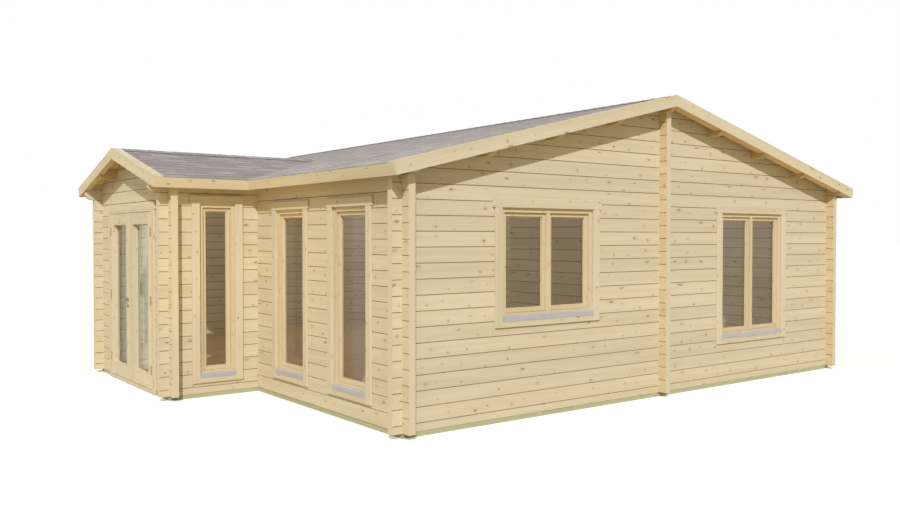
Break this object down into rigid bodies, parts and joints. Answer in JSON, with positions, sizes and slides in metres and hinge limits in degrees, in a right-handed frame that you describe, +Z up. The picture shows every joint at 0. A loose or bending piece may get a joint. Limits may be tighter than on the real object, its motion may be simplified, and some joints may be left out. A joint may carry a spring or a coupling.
{
  "type": "log cabin",
  "caption": "Single-storey log cabin with crossed log corners, a low shingled gable roof, a gabled entrance annex, glazed double doors and casement windows.",
  "frame": {"origin": "middle of the overall box, on the underside of the foundation bearers", "axes": "+Z up, +X along the main ridge toward the gable with windows, -Y toward the entrance"},
  "size_m": [8.694, 7.961, 3.1523],
  "materials": {
    "spruce": "planed, untreated",
    "floor_boards": "planed, untreated",
    "treated_timber": "pressure treated, rough",
    "shingles": "mineral granules on bitumen",
    "glazing": "clear double glazing",
    "sill_metal": "matt grey coating",
    "steel": "satin"
  },
  "bodies": {
    "house": {"main_bearers": "treated_timber", "annex_bearers": "treated_timber", "main_floor": "floor_boards", "annex_floor": "floor_boards", "east_gable_wall": "spruce", "west_gable_wall": "spruce", "front_wall_east": "spruce", "front_wall_west": "spruce", "annex_opening_header": "spruce", "back_wall": "spruce", "partition_wall": "spruce", "annex_east_wall": "spruce", "annex_west_wall": "spruce", "door_wall_west": "spruce", "door_wall_east": "spruce", "door_gable": "spruce", "door_frame": "spruce", "door_trim": "spruce", "door_hinge_pins": "steel", "gable_window_frames": "spruce", "front_window_frames": "spruce", "annex_window_frames": "spruce", "window_trims": "spruce", "window_glass": "glazing", "window_sills": "sill_metal", "main_purlins": "spruce", "annex_purlins": "spruce", "front_roof_boards": "spruce", "back_roof_boards": "spruce", "annex_roof_boards": "spruce", "front_shingles": "shingles", "back_shingles": "shingles", "annex_shingles": "shingles", "main_barge_boards": "spruce", "annex_barge_boards": "spruce", "main_verge_trims": "spruce", "annex_verge_trims": "spruce", "main_fascias": "spruce", "annex_fascias": "spruce"},
    "west_leaf": {"door_leaf_west": "spruce", "door_glass_west": "glazing", "door_fittings_west": "steel"},
    "east_leaf": {"door_leaf_east": "spruce", "door_glass_east": "glazing", "door_fittings_east": "steel"}
  },
  "joints": [
    {"name": "west_leaf_hinge", "type": "hinge", "parent": "house", "child": "west_leaf", "pos_m": [-0.6415, -3.7965, 1], "axis": [0, 0, -1], "range_deg": [0, 110]},
    {"name": "east_leaf_hinge", "type": "hinge", "parent": "house", "child": "east_leaf", "pos_m": [0.8135, -3.7965, 1], "axis": [0, 0, 1], "range_deg": [0, 110]}
  ]
}
